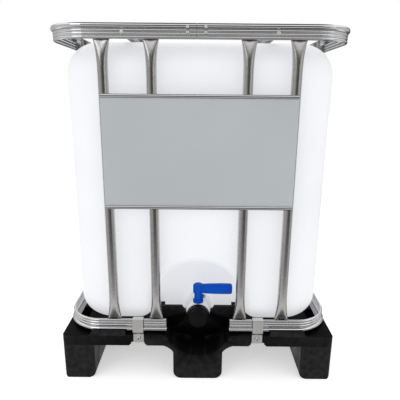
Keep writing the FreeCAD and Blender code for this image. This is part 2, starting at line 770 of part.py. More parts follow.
def make_clamp_nuts():
    nuts = []
    for offset, side in CLAMP_SITES:
        inner = -beam_inner(side) + CONTACT
        end = inner + CLAMP_NUT_HEIGHT
        nut = hexagon_along_y(CLAMP_NUT_ACROSS, inner, end, offset, CLAMP_BOLT_Z)
        bore = along_y(CLAMP_BOLT_RADIUS + CONTACT, inner - 1, end + 1, offset, CLAMP_BOLT_Z)
        nuts.append(on_side(nut.cut(bore), side))
    return Part.makeCompound(nuts)


# ---------------------------------------------------------------- pallet
def foot_columns():
    edge, half = HALF_X - SIDE_FOOT_WIDTH, CENTRE_FOOT_WIDTH / 2
    return {"left": (-HALF_X, -edge), "centre": (-half, half), "right": (edge, HALF_X)}


def foot_rows():
    edge, half = HALF_Y - END_FOOT_LENGTH, MIDDLE_FOOT_LENGTH / 2
    return {"front": (-HALF_Y, -edge), "middle": (-half, half), "rear": (edge, HALF_Y)}


def foot_cells(x0, x1, y0, y1):
    """Hollows of a foot, open at the top, each with rounded lower edges and a drain hole."""
    count = math.ceil((x1 - x0) / FOOT_CELL)
    width = (x1 - x0 - 2 * FOOT_WALL - (count - 1) * RIB) / count
    cells = []
    for k in range(count):
        left = x0 + FOOT_WALL + k * (width + RIB)
        cell = box(
            left, left + width, y0 + FOOT_WALL, y1 - FOOT_WALL, FOOT_FLOOR, FORK_CLEARANCE + OVERCUT
        )
        low = [e for e in cell.Edges if is_along_y(e) and at_height(FOOT_FLOOR)(e)]
        cell = cell.makeFillet(FOOT_EDGE - FOOT_WALL, low)
        middle_x, middle_y = left + width / 2, (y0 + y1) / 2
        drain = upright(DRAIN_RADIUS, -OVERCUT, FOOT_FLOOR + OVERCUT, middle_x, middle_y)
        cells.append(cell.fuse(drain))
    return cells


def foot_block(x0, x1, y0, y1):
    """Solid block of a foot with rounded lower edges."""
    foot = box(x0, x1, y0, y1, 0, FORK_CLEARANCE)
    for x in (x0, x1):
        radius = PALLET_CORNER if abs(x) == HALF_X else FOOT_EDGE
        edge = [e for e in foot.Edges if is_flat_at_x(e, x) and at_height(0)(e)]
        foot = foot.makeFillet(radius, edge)
    return foot


def corner_prism():
    """Outline of the pallet with its rounded corners, taller than everything on it."""
    return rounded_plate(HALF_X, HALF_Y, PALLET_CORNER, -1, YOKE_TOP + 1)


def make_brace(side):
    """Curved web between the front beam and the centre foot, one each side."""
    half = CENTRE_FOOT_WIDTH / 2
    low = FORK_CLEARANCE - BRACE_DROP
    foot_point = Vector(side * half, FRONT, low)
    beam_point = Vector(side * (half + BRACE_RUN), FRONT, FORK_CLEARANCE)
    inner = Vector(side * (half - 1), FRONT, FORK_CLEARANCE)
    bulge = Vector(side * (half + 0.38 * BRACE_RUN), FRONT, FORK_CLEARANCE - 0.42 * BRACE_DROP)
    edges = [
        Part.Arc(foot_point, bulge, beam_point).toShape(),
        Part.LineSegment(beam_point, inner).toShape(),
        Part.LineSegment(inner, foot_point).toShape(),
    ]
    return Part.Face(Part.Wire(edges)).extrude(BACK * PERIMETER_BEAM)


def make_well_rib():
    """Cross rib in the well, with a slot in its middle."""
    y0, y1 = FRONT + WELL_RIB_DEPTH - RIB / 2, FRONT + WELL_RIB_DEPTH + RIB / 2
    half = CENTRE_FOOT_WIDTH / 2 - 1
    rib = box(-half, half, y0, y1, FORK_CLEARANCE - 2 * FOOT_EDGE, FORK_CLEARANCE)
    slot = box(-WELL_SLOT_HALF, WELL_SLOT_HALF, y0 - 1, y1 + 1, 0, FORK_CLEARANCE + 1)
    return rib.cut([along_y(WELL_RIB_RADIUS, y0 - 1, y1 + 1), slot])


def make_valve_foot(x0, x1, y0, y1):
    """Front centre foot: the well for the valve is scooped out of its top."""
    foot = foot_block(x0, x1, y0, y1)
    well_floor = VALVE_Z - WELL_RADIUS
    below_well = box(x0, x1, y0, y0 + WELL_DEPTH, -2, well_floor - FOOT_WALL)
    behind_well = box(x0, x1, y0 + WELL_DEPTH + YOKE_THICKNESS, y1, -2, FORK_CLEARANCE + 1)
    passage = box(x0, x1, y0 + FOOT_WALL, y1, -2, well_floor - FOOT_WALL)
    room = below_well.fuse([behind_well, passage])
    hollows = [cell.common(room) for cell in foot_cells(x0, x1, y0, y1)]
    foot = foot.fuse([make_brace(-1), make_brace(1)])
    foot = foot.cut(hollows + [along_y(WELL_RADIUS, y0 - OVERCUT, y0 + WELL_DEPTH)])
    return foot.fuse(make_well_rib()).removeSplitter()


def make_feet():
    feet = {}
    outline = corner_prism()
    for row, (y0, y1) in foot_rows().items():
        for column, (x0, x1) in foot_columns().items():
            if (row, column) == ("front", "centre"):
                foot = make_valve_foot(x0, x1, y0, y1)
            else:
                foot = foot_block(x0, x1, y0, y1).cut(foot_cells(x0, x1, y0, y1))
            feet[f"foot_{row}_{column}"] = foot.common(outline)
    return feet


def grid_lines(half, centre_foot, end_foot_start, beam):
    """Rib lines across the deck: the middle, the feet's faces and an even division between."""
    step = (end_foot_start - centre_foot) / CELLS_BETWEEN_FEET
    lines = [centre_foot + step * k for k in range(CELLS_BETWEEN_FEET + 1)]
    lines.append(half - beam + RIB / 2)
    return [-v for v in reversed(lines)] + [0.0] + lines


def deck_cells():
    """Open cells between the ribs on the underside of the deck."""
    lines_x = grid_lines(
        HALF_X, CENTRE_FOOT_WIDTH / 2, HALF_X - SIDE_FOOT_WIDTH, PERIMETER_BEAM
    )
    lines_y = grid_lines(
        HALF_Y, MIDDLE_FOOT_LENGTH / 2, HALF_Y - END_FOOT_LENGTH, PERIMETER_BEAM
    )
    well_back = FRONT + WELL_DEPTH + YOKE_THICKNESS
    top = SEAT_TOP - SKIN
    cells = []
    for x0, x1 in zip(lines_x, lines_x[1:]):
        for y0, y1 in zip(lines_y, lines_y[1:]):
            beside_valve = max(abs(x0), abs(x1)) < WELL_RADIUS + PERIMETER_BEAM + CENTRE_FOOT_WIDTH / 2
            front_row = y0 < FRONT + END_FOOT_LENGTH - RIB
            start = max(y0, well_back) if beside_valve and front_row else y0
            ceiling = VALVE_Z - TROUGH_RADIUS - SKIN if beside_valve and front_row else top
            cells.append(box(
                x0 + RIB / 2, x1 - RIB / 2, start + RIB / 2, y1 - RIB / 2,
                FORK_CLEARANCE - 1, ceiling,
            ))
    return cells


def make_lips():
    """Raised stops on the front and rear edges that keep the bottom rail in place."""
    lips = []
    for mirror_x in (-1, 1):
        outline = [
            (mirror_x * LIP_FROM_X, FRONT, DECK_TOP - 1),
            (mirror_x * LIP_TO_X, FRONT, DECK_TOP - 1),
            (mirror_x * (LIP_TO_X - LIP_SLOPE), FRONT, DECK_TOP + LIP_HEIGHT),
            (mirror_x * (LIP_FROM_X + 0.2 * LIP_SLOPE), FRONT, DECK_TOP + LIP_HEIGHT),
        ]
        lip = polygon(outline).extrude(BACK * LIP_THICKNESS)
        lips += [lip, lip.mirror(Vector(0, 0, 0), BACK)]
    return lips


def well_mouth():
    """Front profile of the well: an arc round the valve's axis with rounded shoulders."""
    rise = DECK_TOP - WELL_ROUNDING - VALVE_Z
    run = math.sqrt((WELL_RADIUS + WELL_ROUNDING) ** 2 - rise ** 2)
    shoulders = []
    for side in (-1, 1):
        block = box(*sorted((0, side * run)), FRONT, FRONT + WELL_DEPTH, FORK_CLEARANCE, DECK_TOP + 1)
        keep = along_y(WELL_ROUNDING, FRONT - 1, FRONT + WELL_DEPTH + 1, side * run, DECK_TOP - WELL_ROUNDING)
        touch = WELL_RADIUS / (WELL_RADIUS + WELL_ROUNDING)
        above = box(
            *sorted((side * run * touch, side * run)), FRONT - 1, FRONT + WELL_DEPTH + 1,
            VALVE_Z + rise * touch, DECK_TOP + 2,
        )
        shoulders.append(block.common(above).cut(keep))
    return [along_y(WELL_RADIUS, FRONT - 1, FRONT + WELL_DEPTH)] + shoulders


def make_yoke():
    """Upright wall behind the well, notched and rounded for the valve."""
    y0, y1 = FRONT + WELL_DEPTH, FRONT + WELL_DEPTH + YOKE_THICKNESS
    wall = box(-YOKE_HALF_WIDTH, YOKE_HALF_WIDTH, y0, y1, FORK_CLEARANCE, YOKE_TOP)
    low_half = math.sqrt(CRADLE_RADIUS ** 2 - (VALVE_Z - CRADLE_TOP) ** 2)
    slope = (YOKE_NOTCH_HALF - low_half) / (YOKE_TOP - CRADLE_TOP)
    over = YOKE_NOTCH_HALF + slope
    notch = polygon([
        (-over, y0 - 1, YOKE_TOP + 1),
        (-low_half, y0 - 1, CRADLE_TOP),
        (low_half, y0 - 1, CRADLE_TOP),
        (over, y0 - 1, YOKE_TOP + 1),
    ]).extrude(BACK * (YOKE_THICKNESS + 2))
    return wall.cut([notch, along_y(CRADLE_RADIUS, y0 - 1, y1 + 1)])


def clamp_notches():
    """Slots in the beam that the clamps stand in, flared below, with their bolt holes."""
    cuts = []
    half = CLAMP_WIDTH / 2 + NOTCH_MARGIN
    for offset, side in CLAMP_SITES:
        floor, edge = -clamp_foot(side) + CONTACT, -half_span(side) - 1
        notch = box(offset - half, offset + half, edge, floor, FORK_CLEARANCE - 1, SEAT_TOP + LIP_HEIGHT)
        flare = polygon([
            (offset - half - NOTCH_FLARE, edge, FORK_CLEARANCE),
            (offset - half, edge, FORK_CLEARANCE + NOTCH_FLARE),
            (offset + half, edge, FORK_CLEARANCE + NOTCH_FLARE),
            (offset + half + NOTCH_FLARE, edge, FORK_CLEARANCE),
        ]).extrude(BACK * (floor - edge))
        hole = along_y(
            CLAMP_BOLT_RADIUS + HOLE_CLEARANCE, floor - 1, -beam_inner(side) + 1, offset, CLAMP_BOLT_Z
        )
        cuts += [on_side(cut, side) for cut in (notch, flare, hole)]
    return cuts


def corner_pockets():
    pockets = []
    y0, y1 = FRONT + POCKET_FROM_DEPTH, FRONT + POCKET_TO_DEPTH
    for turn in (0, 180):
        for mirror in (-1, 1):
            xs = sorted((mirror * POCKET_FROM_X, mirror * POCKET_TO_X))
            pocket = box(*xs, y0, y1, FORK_CLEARANCE - 1, SEAT_TOP + 1)
            pocket.rotate(Vector(0, 0, 0), UP, turn)
            pockets.append(pocket)
    return pockets


def make_deck():
    """Ribbed deck with a perimeter beam, a raised seat, the yoke and the well's upper part."""
    plate = rounded_plate(HALF_X, HALF_Y, PALLET_CORNER, FORK_CLEARANCE, DECK_TOP)
    plate = plate.makeChamfer(DECK_EDGE, edges_where(plate, at_height(DECK_TOP)))
    seat = rounded_plate(
        WEB_X, WEB_Y, RAIL_CORNER - BEAD_RADIUS, DECK_TOP - DECK_EDGE - 1, SEAT_TOP
    )
    seat = seat.makeChamfer(DECK_EDGE, edges_where(seat, at_height(SEAT_TOP)))
    trough = along_y(TROUGH_RADIUS, FRONT + WELL_DEPTH, NICHE_BACK + BOTTLE_WALL + GAP)
    deck = plate.fuse([seat] + make_lips())
    deck = deck.cut(deck_cells() + well_mouth() + [trough])
    deck = deck.fuse(make_yoke())
    return deck.cut(clamp_notches() + corner_pockets()).removeSplitter()


# ---------------------------------------------------------------- bottle
def niche_shape(half_width, back):
    """Arched recess round the valve, open at the front and below."""
    front = -HALF_Y
    arch = along_y(half_width, front, back, 0, NICHE_ARCH_Z)
    legs = box(-half_width, half_width, front, back, 0, NICHE_ARCH_Z)
    return arch.fuse(legs).removeSplitter()


def side_grooves(inset):
    """Upright grooves in the long sides that clear the tubes of the cage."""
    radius = GROOVE_RADIUS + inset
    reach = GROOVE_FLOOR + GROOVE_RADIUS
    cuts = []
    for pitch in SIDE_TUBES:
        for side in (-1, 1):
            cuts.append(upright(radius, 0, OVERALL_HEIGHT, side * reach, pitch * TUBE_PITCH))
    return cuts


def bottle_body(inset):
    """Rounded outer or inner shape of the bottle, with the niche cut out of it."""
    z0, z1 = BOTTLE_BOTTOM + inset, BOTTLE_TOP - inset
    half_x, half_y = BOTTLE_X - inset, BOTTLE_Y - inset
    niche_half, back = NICHE_HALF_WIDTH + inset, NICHE_BACK + inset
    body = rounded_plate(half_x, half_y, BOTTLE_CORNER - inset, z0, z1)
    body = body.cut(niche_shape(niche_half, back))
    mouth = [e for e in body.Edges if is_flat_at_y(e, -half_y) and within_x(e, niche_half + 1)]
    mouth = [e for e in mouth if not at_height(z0)(e)]
    body = body.makeFillet(NICHE_EDGE - inset, mouth)
    corner = [e for e in body.Edges if is_flat_at_y(e, back) and not at_height(z0)(e)]
    body = body.makeFillet(NICHE_EDGE + inset, corner)
    body = body.makeFillet(BOTTLE_TOP_EDGE - inset, edges_where(body, at_height(z1)))
    body = body.makeFillet(BOTTLE_BOTTOM_EDGE - inset, edges_where(body, at_height(z0)))
    return body.cut(side_grooves(inset))


def niche_foot(inset):
    """Squared foot of the niche's rear wall, so that the outlet can sit low in it."""
    half = NICHE_HALF_WIDTH - NICHE_EDGE
    z0, back = BOTTLE_BOTTOM + inset, NICHE_BACK + inset
    foot = box(
        -half + inset, half - inset, back, back + BOTTLE_BOTTOM_EDGE, z0, z0 + BOTTLE_BOTTOM_EDGE
    )
    lower = [e for e in foot.Edges if is_flat_at_y(e, back) and at_height(z0)(e)]
    return foot.makeFillet(NICHE_FOOT_EDGE - inset, lower)


def recess_cone(inset):
    """Round recess in the top of the bottle, round the filling neck."""
    floor = NECK_FLOOR - inset
    return Part.makeCone(
        RECESS_RADIUS - RECESS_TAPER + inset, RECESS_RADIUS + inset, BOTTLE_TOP + 1 - floor,
        Vector(0, 0, floor), UP,
    )


def neck_thread(radius, z0, turns, depth):
    """Rings that stand for the thread; they are level, so a lid can be drawn straight off."""
    rings = []
    for k in range(turns):
        z = z0 + k * THREAD_PITCH
        rings.append(revolve_about_z([
            (radius - 1, z), (radius, z), (radius + depth, z + 1.4),
            (radius + depth, z + 2.4), (radius, z + 3.8), (radius - 1, z + 3.8),
        ]))
    return rings


def make_bottle():
    outer = bottle_body(0.0).cut(recess_cone(0.0))
    neck = upright(NECK_OUTER, NECK_FLOOR - BOTTLE_WALL, NECK_TOP)
    outlet = along_y(OUTLET_NECK_RADIUS, OUTLET_NECK_END, NICHE_BACK + BOTTLE_WALL)
    outer = outer.fuse([neck, outlet, niche_foot(0.0)])
    outer = outer.fuse(neck_thread(NECK_OUTER, NECK_TOP - 18, 2, THREAD_DEPTH))
    inner = bottle_body(BOTTLE_WALL).cut(recess_cone(BOTTLE_WALL))
    inner = inner.fuse(niche_foot(BOTTLE_WALL))
    bores = [
        upright(NECK_INNER, NECK_FLOOR - 30, NECK_TOP + 1),
        along_y(BORE, OUTLET_NECK_END - 1, NICHE_BACK + 30),
    ]
    return outer.cut([inner] + bores)


# ---------------------------------------------------------------- lid and vent plug
def make_lid():
    """Screw lid with a gripped skirt, a dished middle and a boss for the vent plug."""
    bottom, under, dish = LID_TOP - LID_SKIRT, LID_TOP - LID_WALL, LID_TOP - LID_DISH
    inner = NECK_OUTER + THREAD_DEPTH + GAP
    bore, boss = VENT_RADIUS + RUNNING, VENT_RADIUS + VENT_BOSS_WALL
    rim = NECK_INNER - LID_PLATE
    shell = revolve_about_z([
        (bore, dish),
        (rim - LID_DISH, dish),
        (rim - LID_PLATE, LID_TOP - 1),
        (rim, LID_TOP),
        (LID_RADIUS - LID_EDGE, LID_TOP),
        (LID_RADIUS, LID_TOP - LID_EDGE),
        (LID_RADIUS, bottom),
        (inner, bottom),
        (inner, under),
        (NECK_INNER - 1, under),
        (rim - LID_PLATE, dish - LID_PLATE),
        (boss, dish - LID_PLATE),
        (boss, LID_TOP - VENT_DEPTH),
        (bore, LID_TOP - VENT_DEPTH),
    ])
    pieces = [shell]
    for k in range(LID_GRIPS):
        angle = 2 * math.pi * k / LID_GRIPS
        x, y = LID_RADIUS * math.cos(angle), LID_RADIUS * math.sin(angle)
        pieces.append(upright(GRIP_RADIUS, bottom, LID_TOP - LID_EDGE, x, y))
    half = LID_PLATE / 2
    for k in range(LID_WEBS):
        web = box(VENT_HEAD_RADIUS + 2, rim - half, -half, half, dish - 1, LID_TOP - 1)
        web.rotate(Vector(0, 0, 0), UP, 360 * k / LID_WEBS)
        pieces.append(web)
    return join(pieces)


def make_lid_gasket():
    """Flat ring between the neck's rim and the lid."""
    z0 = NECK_TOP + 0.05
    ring = upright(NECK_OUTER, z0, z0 + LID_GASKET - 0.1)
    return ring.cut(upright(NECK_INNER, z0 - 1, z0 + LID_GASKET + 1))


def make_vent_plug():
    """Plug with a six-lobed head, a hollow shank and a vent hole."""
    seat = VENT_SEAT + CONTACT
    head = upright(VENT_HEAD_RADIUS - 3, seat, seat + VENT_HEAD)
    lobes = []
    for k in range(6):
        angle = math.radians(60 * k)
        lobes.append(upright(
            8, seat, seat + VENT_HEAD, (VENT_HEAD_RADIUS - 8) * math.cos(angle),
            (VENT_HEAD_RADIUS - 8) * math.sin(angle),
        ))
    head = head.fuse(lobes).removeSplitter()
    shank = upright(VENT_RADIUS, LID_TOP - VENT_DEPTH, seat + 1)
    plug = head.fuse(shank).removeSplitter()
    hollow = upright(VENT_RADIUS - 4, LID_TOP - VENT_DEPTH - 1, seat + VENT_HEAD - 6)
    dish = upright(VENT_HEAD_RADIUS - 14, seat + VENT_HEAD - 3, seat + VENT_HEAD + 1)
    vent = upright(2.0, seat, seat + VENT_HEAD + 1)
    return plug.cut([hollow, dish, vent])


def make_vent_gasket():
    z0, z1 = LID_TOP - LID_DISH + CONTACT, VENT_SEAT - CONTACT
    ring = upright(VENT_HEAD_RADIUS - 3.5, z0, z1)
    return ring.cut(upright(VENT_RADIUS + GAP, z0 - 1, z1 + 1))


# ---------------------------------------------------------------- valve
def make_valve_body():
    """Straight body with a housing round the disc, a rear flange and an outlet thread."""
    start = FRONT + OUTLET_DEPTH
    housing_front, housing_back = STEM_Y - HOUSING_HALF_LENGTH, STEM_Y + HOUSING_HALF_LENGTH
    liner_outer = BORE + LINER_THICKNESS
    liner_front, liner_back = STEM_Y - LINER_HALF_LENGTH, STEM_Y + LINER_HALF_LENGTH
    body = revolve_about_y([
        (start, BORE),
        (start, VALVE_OUTER - 1),
        (start + 1, VALVE_OUTER),
        (housing_front, VALVE_OUTER),
        (housing_front + 0.5, HOUSING_RADIUS - 2),
        (housing_front + 2.5, HOUSING_RADIUS),
        (housing_back - 2.5, HOUSING_RADIUS),
        (housing_back, HOUSING_RADIUS - 3),
        (housing_back + 2, VALVE_OUTER),
        (VALVE_REAR - VALVE_FLANGE, VALVE_OUTER),
        (VALVE_REAR - VALVE_FLANGE, OUTLET_NECK_RADIUS),
        (VALVE_REAR, OUTLET_NECK_RADIUS),
        (VALVE_REAR, BORE),
        (liner_back, BORE),
        (liner_back, liner_outer),
        (liner_front, liner_outer),
        (liner_front, BORE),
    ])
    boss = upright(BOSS_RADIUS, VALVE_Z + BORE + LINER_THICKNESS + 1, BOSS_TOP, 0, STEM_Y)
    body = body.fuse(boss).removeSplitter()
    cuts = [upright(STEM_RADIUS + RUNNING, VALVE_Z - BORE - STEM_FOOT - 0.2, BOSS_TOP + 1, 0, STEM_Y)]
    for z in SEAL_HEIGHTS:
        groove = SEAL_RADIUS + 0.2
        cuts.append(upright(STEM_RADIUS + 2 * SEAL_RADIUS + 0.3, z - groove, z + groove, 0, STEM_Y))
    return body.cut(cuts)


def make_valve_liner():
    """Rubber seat that the disc closes against."""
    y0, y1 = STEM_Y - LINER_HALF_LENGTH + 0.05, STEM_Y + LINER_HALF_LENGTH - 0.05
    outer = BORE + LINER_THICKNESS - 0.05
    ring = along_y(outer, y0, y1).cut(along_y(BORE, y0 - 1, y1 + 1))
    return ring.cut(upright(STEM_RADIUS + RUNNING, VALVE_Z - 60, VALVE_Z + 60, 0, STEM_Y))


def make_valve_disc():
    radius = BORE - DISC_CLEARANCE
    disc = along_y(radius, STEM_Y - DISC_HALF_THICKNESS, STEM_Y + DISC_HALF_THICKNESS)
    disc = disc.makeFillet(1.6, [e for e in disc.Edges if e.BoundBox.YLength < 1e-4])
    hub = upright(DISC_HUB_RADIUS, VALVE_Z - BORE * 0.9, VALVE_Z + BORE * 0.9, 0, STEM_Y)
    hub = hub.common(Part.makeSphere(radius, Vector(0, STEM_Y, VALVE_Z)))
    return disc.fuse(hub).cut(upright(STEM_RADIUS + 0.05, 0, 400, 0, STEM_Y))


def make_valve_stem():
    low, shoulder = VALVE_Z - BORE - STEM_FOOT, BOSS_TOP + 1
    rod = upright(STEM_RADIUS, low, shoulder, 0, STEM_Y)
    half = STEM_SQUARE / 2
    square = box(-half, half, STEM_Y - half, STEM_Y + half, shoulder - 1, HANDLE_SOCKET_TOP - 1)
    return rod.fuse(square.common(upright(STEM_RADIUS, shoulder - 2, 400, 0, STEM_Y)))


def make_stem_seals():
    rings = []
    for z in SEAL_HEIGHTS:
        major = STEM_RADIUS + SEAL_RADIUS + 0.1
        rings.append(Part.makeTorus(major, SEAL_RADIUS, Vector(0, STEM_Y, z), UP))
    return Part.makeCompound(rings)


def make_collar_nut():
    """Ribbed nut that draws the valve's flange onto the bottle's outlet neck."""
    front = VALVE_REAR - VALVE_FLANGE - NUT_LIP - 0.05
    back = front + NUT_LENGTH
    lip_back = front + NUT_LIP
    nut = revolve_about_y([
        (front, VALVE_OUTER + GAP),
        (front, NUT_RADIUS - 2),
        (front + 2, NUT_RADIUS),
        (back - 1, NUT_RADIUS),
        (back, NUT_RADIUS - 1),
        (back, OUTLET_NECK_RADIUS + 0.2),
        (lip_back, OUTLET_NECK_RADIUS + 0.2),
        (lip_back, VALVE_OUTER + GAP),
    ])
    ribs = []
    for k in range(NUT_RIBS):
        rib = box(-3, 3, front + 2, back - 1, VALVE_Z + NUT_RADIUS - 2, VALVE_Z + NUT_RADIUS + NUT_RIB_OUT)
        rib.rotate(Vector(0, 0, VALVE_Z), BACK, 360 * k / NUT_RIBS)
        ribs.append(rib)
    return nut.fuse(ribs).removeSplitter()


def make_valve_gasket():
    y0, y1 = VALVE_REAR + 0.05, OUTLET_NECK_END - 0.05
    return along_y(OUTLET_NECK_RADIUS - 0.5, y0, y1).cut(along_y(BORE + 0.5, y0 - 1, y1 + 1))


def make_outlet_cap():
    """Dust cap: a tapered skirt with grips, a bevelled face and a small centre dimple."""
    face, end = FRONT + CAP_DEPTH, FRONT + CAP_SKIRT_END
    bore = VALVE_OUTER + CAP_BORE_CLEARANCE
    cap = revolve_about_y([
        (face + 0.8, 0.0),
        (face + 0.8, 3.0),
        (face, 4.0),
        (face, CAP_FACE_RADIUS - CAP_BEVEL),
        (face + CAP_BEVEL, CAP_FACE_RADIUS),
        (face + 7, CAP_FACE_RADIUS + 1),
        (face + 9, CAP_SKIRT_RADIUS - 1),
        (end - 1, CAP_SKIRT_RADIUS),
        (end, CAP_SKIRT_RADIUS - 1),
        (end, bore),
        (face + CAP_WALL, bore),
        (face + CAP_WALL, 0.0),
    ])
    flutes = []
    for k in range(CAP_GRIPS):
        angle = 2 * math.pi * (k + 0.5) / CAP_GRIPS
        x = (CAP_SKIRT_RADIUS + 1.0) * math.sin(angle)
        z = VALVE_Z + (CAP_SKIRT_RADIUS + 1.0) * math.cos(angle)
        flutes.append(along_y(CAP_GRIP_RADIUS, face + 8, end + 1, x, z))
    return cap.cut(flutes)


def make_cap_gasket():
    y0, y1 = FRONT + CAP_DEPTH + CAP_WALL + 0.05, FRONT + OUTLET_DEPTH - 0.05
    return along_y(VALVE_OUTER - 0.4, y0, y1)


# ---------------------------------------------------------------- handle
def make_lever(half):
    """Arm of the handle: it swells towards its end, above and below."""
    full = LEVER_FULL_AT * LEVER_LENGTH

    def point(x, z):
        return Vector(x, STEM_Y - half, z)

    ends = {
        "low_start": point(0, LEVER_BOTTOM + LEVER_WAIST),
        "low_end": point(LEVER_LENGTH, LEVER_BOTTOM + LEVER_DROOP),
        "high_end": point(LEVER_LENGTH, LEVER_TOP - LEVER_DROOP),
        "high_start": point(0, LEVER_TOP - LEVER_WAIST),
    }
    outline = Part.Wire([
        Part.Arc(ends["low_start"], point(full, LEVER_BOTTOM), ends["low_end"]).toShape(),
        Part.LineSegment(ends["low_end"], ends["high_end"]).toShape(),
        Part.Arc(ends["high_end"], point(full, LEVER_TOP), ends["high_start"]).toShape(),
        Part.LineSegment(ends["high_start"], ends["low_start"]).toShape(),
    ])
    lever = Part.Face(outline).extrude(BACK * (2 * half))
    return lever.makeFillet(LEVER_EDGE, [e for e in lever.Edges if e.BoundBox.XMax > OVERCUT])


def make_handle():
    """Lever handle. It points across the pipe when the valve is shut."""
    base_z = VALVE_Z + HOUSING_RADIUS + GAP
    base = upright(HANDLE_BASE_RADIUS, base_z, HANDLE_BASE_TOP, 0, STEM_Y)
    base = base.makeFillet(3.0, edges_where(base, at_height(HANDLE_BASE_TOP)))
    neck = upright(HANDLE_NECK_RADIUS, base_z, LEVER_BOTTOM + LEVER_EDGE, 0, STEM_Y)
    hub = upright(HANDLE_HUB_RADIUS, LEVER_BOTTOM, LEVER_TOP, 0, STEM_Y)
    rims = [e for e in hub.Edges if at_height(LEVER_TOP)(e) or at_height(LEVER_BOTTOM)(e)]
    hub = hub.makeFillet(LEVER_EDGE, rims)
    half = LEVER_WIDTH / 2
    lever = make_lever(half)
    boss = Part.makeCylinder(SCREW_BOSS_RADIUS, SCREW_BOSS_X, Vector(0, STEM_Y, SCREW_Z), RIGHT)
    handle = join([base, neck, hub, lever, boss])
    front = STEM_Y - HANDLE_HUB_RADIUS
    relief = box(
        RELIEF_FROM_X, RELIEF_TO_X, front - 1, STEM_Y - half + RELIEF_DEPTH,
        LEVER_BOTTOM + 1.5, LEVER_BOTTOM + 1.5 + RELIEF_HEIGHT,
    )
    socket_half = STEM_SQUARE / 2 + CONTACT
    socket = box(
        -socket_half, socket_half, STEM_Y - socket_half, STEM_Y + socket_half,
        base_z - 1, HANDLE_SOCKET_TOP,
    )
    boss_room = upright(BOSS_RADIUS + GAP, base_z - 1, BOSS_TOP + GAP, 0, STEM_Y)
    shoulder = upright(STEM_RADIUS + GAP, base_z - 1, BOSS_TOP + 1.2, 0, STEM_Y)
    screw_hole = Part.makeCylinder(
        SCREW_RADIUS + CONTACT, SCREW_BOSS_X + 2, Vector(0, STEM_Y, SCREW_Z), RIGHT
    )
    return handle.cut([relief, socket, boss_room, shoulder, screw_hole])


def make_handle_screw():
    start = STEM_SQUARE / 2 + 0.1
    shank = Part.makeCylinder(SCREW_RADIUS, SCREW_BOSS_X - start + 0.5, Vector(start, STEM_Y, SCREW_Z), RIGHT)
    head = Part.makeCylinder(SCREW_HEAD_RADIUS, SCREW_HEAD, Vector(SCREW_BOSS_X + 0.05, STEM_Y, SCREW_Z), RIGHT)
    far = SCREW_BOSS_X + 0.05 + SCREW_HEAD
    rim = [e for e in head.Edges if abs(e.BoundBox.XMin - far) < 1e-4]
    head = head.makeFillet(1.5, rim)
    return shank.fuse(head)


# ---------------------------------------------------------------- everything
def make_all():
    nodes = {
        "pallet_deck": make_deck(),
        "bottom_rail": make_bottom_rail(),
        "top_rail": make_top_rail(),
        "top_rail_splice": make_splice(),
        "splice_rivets": make_rivets(),
        "label_plate": make_label_plate(),
        "label_clips": make_label_clips(),
        "top_bar_left": make_top_bar(-BAR_X),
        "top_bar_right": make_top_bar(BAR_X),
        "top_bar_bolts": make_bar_bolts(),
        "top_bar_nuts": make_bar_nuts(),
        "clamp_bolts": make_clamp_bolts(),
        "clamp_nuts": make_clamp_nuts(),
        "bottle": make_bottle(),
        "lid": make_lid(),
        "lid_gasket": make_lid_gasket(),
        "vent_plug": make_vent_plug(),
        "vent_plug_gasket": make_vent_gasket(),
        "valve_body": make_valve_body(),
        "valve_liner": make_valve_liner(),
        "valve_disc": make_valve_disc(),
        "valve_stem": make_valve_stem(),
        "stem_seals": make_stem_seals(),
        "collar_nut": make_collar_nut(),
        "valve_gasket": make_valve_gasket(),
        "outlet_cap": make_outlet_cap(),
        "outlet_cap_gasket": make_cap_gasket(),
        "valve_handle": make_handle(),
        "handle_screw": make_handle_screw(),
    }
    nodes.update(make_feet())
    nodes.update(make_tubes())
    nodes.update(make_clamps())
    return nodes


os.makedirs("parts", exist_ok=True)
for node_name, node_shape in make_all().items():
    export(node_name, node_shape)
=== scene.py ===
"""Looks of a 600 litre class intermediate bulk container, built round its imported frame.

Metres. +Z is up, -Y is the valve side. CAD pieces keep their shape; this script gives them their
materials, adds the small detail that they carry, and sets the floor, the lights and the camera.
"""

import json
import math

import bmesh
import bpy
from mathutils import Matrix, Vector


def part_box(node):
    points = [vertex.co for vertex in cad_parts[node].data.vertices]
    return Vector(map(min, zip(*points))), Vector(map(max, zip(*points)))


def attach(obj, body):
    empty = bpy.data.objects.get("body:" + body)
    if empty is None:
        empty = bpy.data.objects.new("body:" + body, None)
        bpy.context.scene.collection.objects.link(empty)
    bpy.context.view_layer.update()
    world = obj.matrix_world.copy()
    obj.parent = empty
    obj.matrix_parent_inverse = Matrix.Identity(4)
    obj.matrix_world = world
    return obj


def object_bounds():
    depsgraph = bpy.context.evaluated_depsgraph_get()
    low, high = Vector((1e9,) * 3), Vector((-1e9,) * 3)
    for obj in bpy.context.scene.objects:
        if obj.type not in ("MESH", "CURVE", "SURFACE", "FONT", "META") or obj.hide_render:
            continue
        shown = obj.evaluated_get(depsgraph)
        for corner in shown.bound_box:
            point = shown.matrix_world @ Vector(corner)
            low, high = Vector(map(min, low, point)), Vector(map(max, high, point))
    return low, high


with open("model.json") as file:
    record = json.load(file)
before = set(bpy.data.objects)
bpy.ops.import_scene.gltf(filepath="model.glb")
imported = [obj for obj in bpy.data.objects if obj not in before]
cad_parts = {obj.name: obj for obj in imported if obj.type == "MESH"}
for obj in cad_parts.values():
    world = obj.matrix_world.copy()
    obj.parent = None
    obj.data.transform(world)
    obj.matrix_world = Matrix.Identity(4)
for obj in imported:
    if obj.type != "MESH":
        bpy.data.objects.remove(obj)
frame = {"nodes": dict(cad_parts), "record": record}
CAD_LOW, CAD_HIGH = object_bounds()
NODES = frame["nodes"]
MM = 0.001

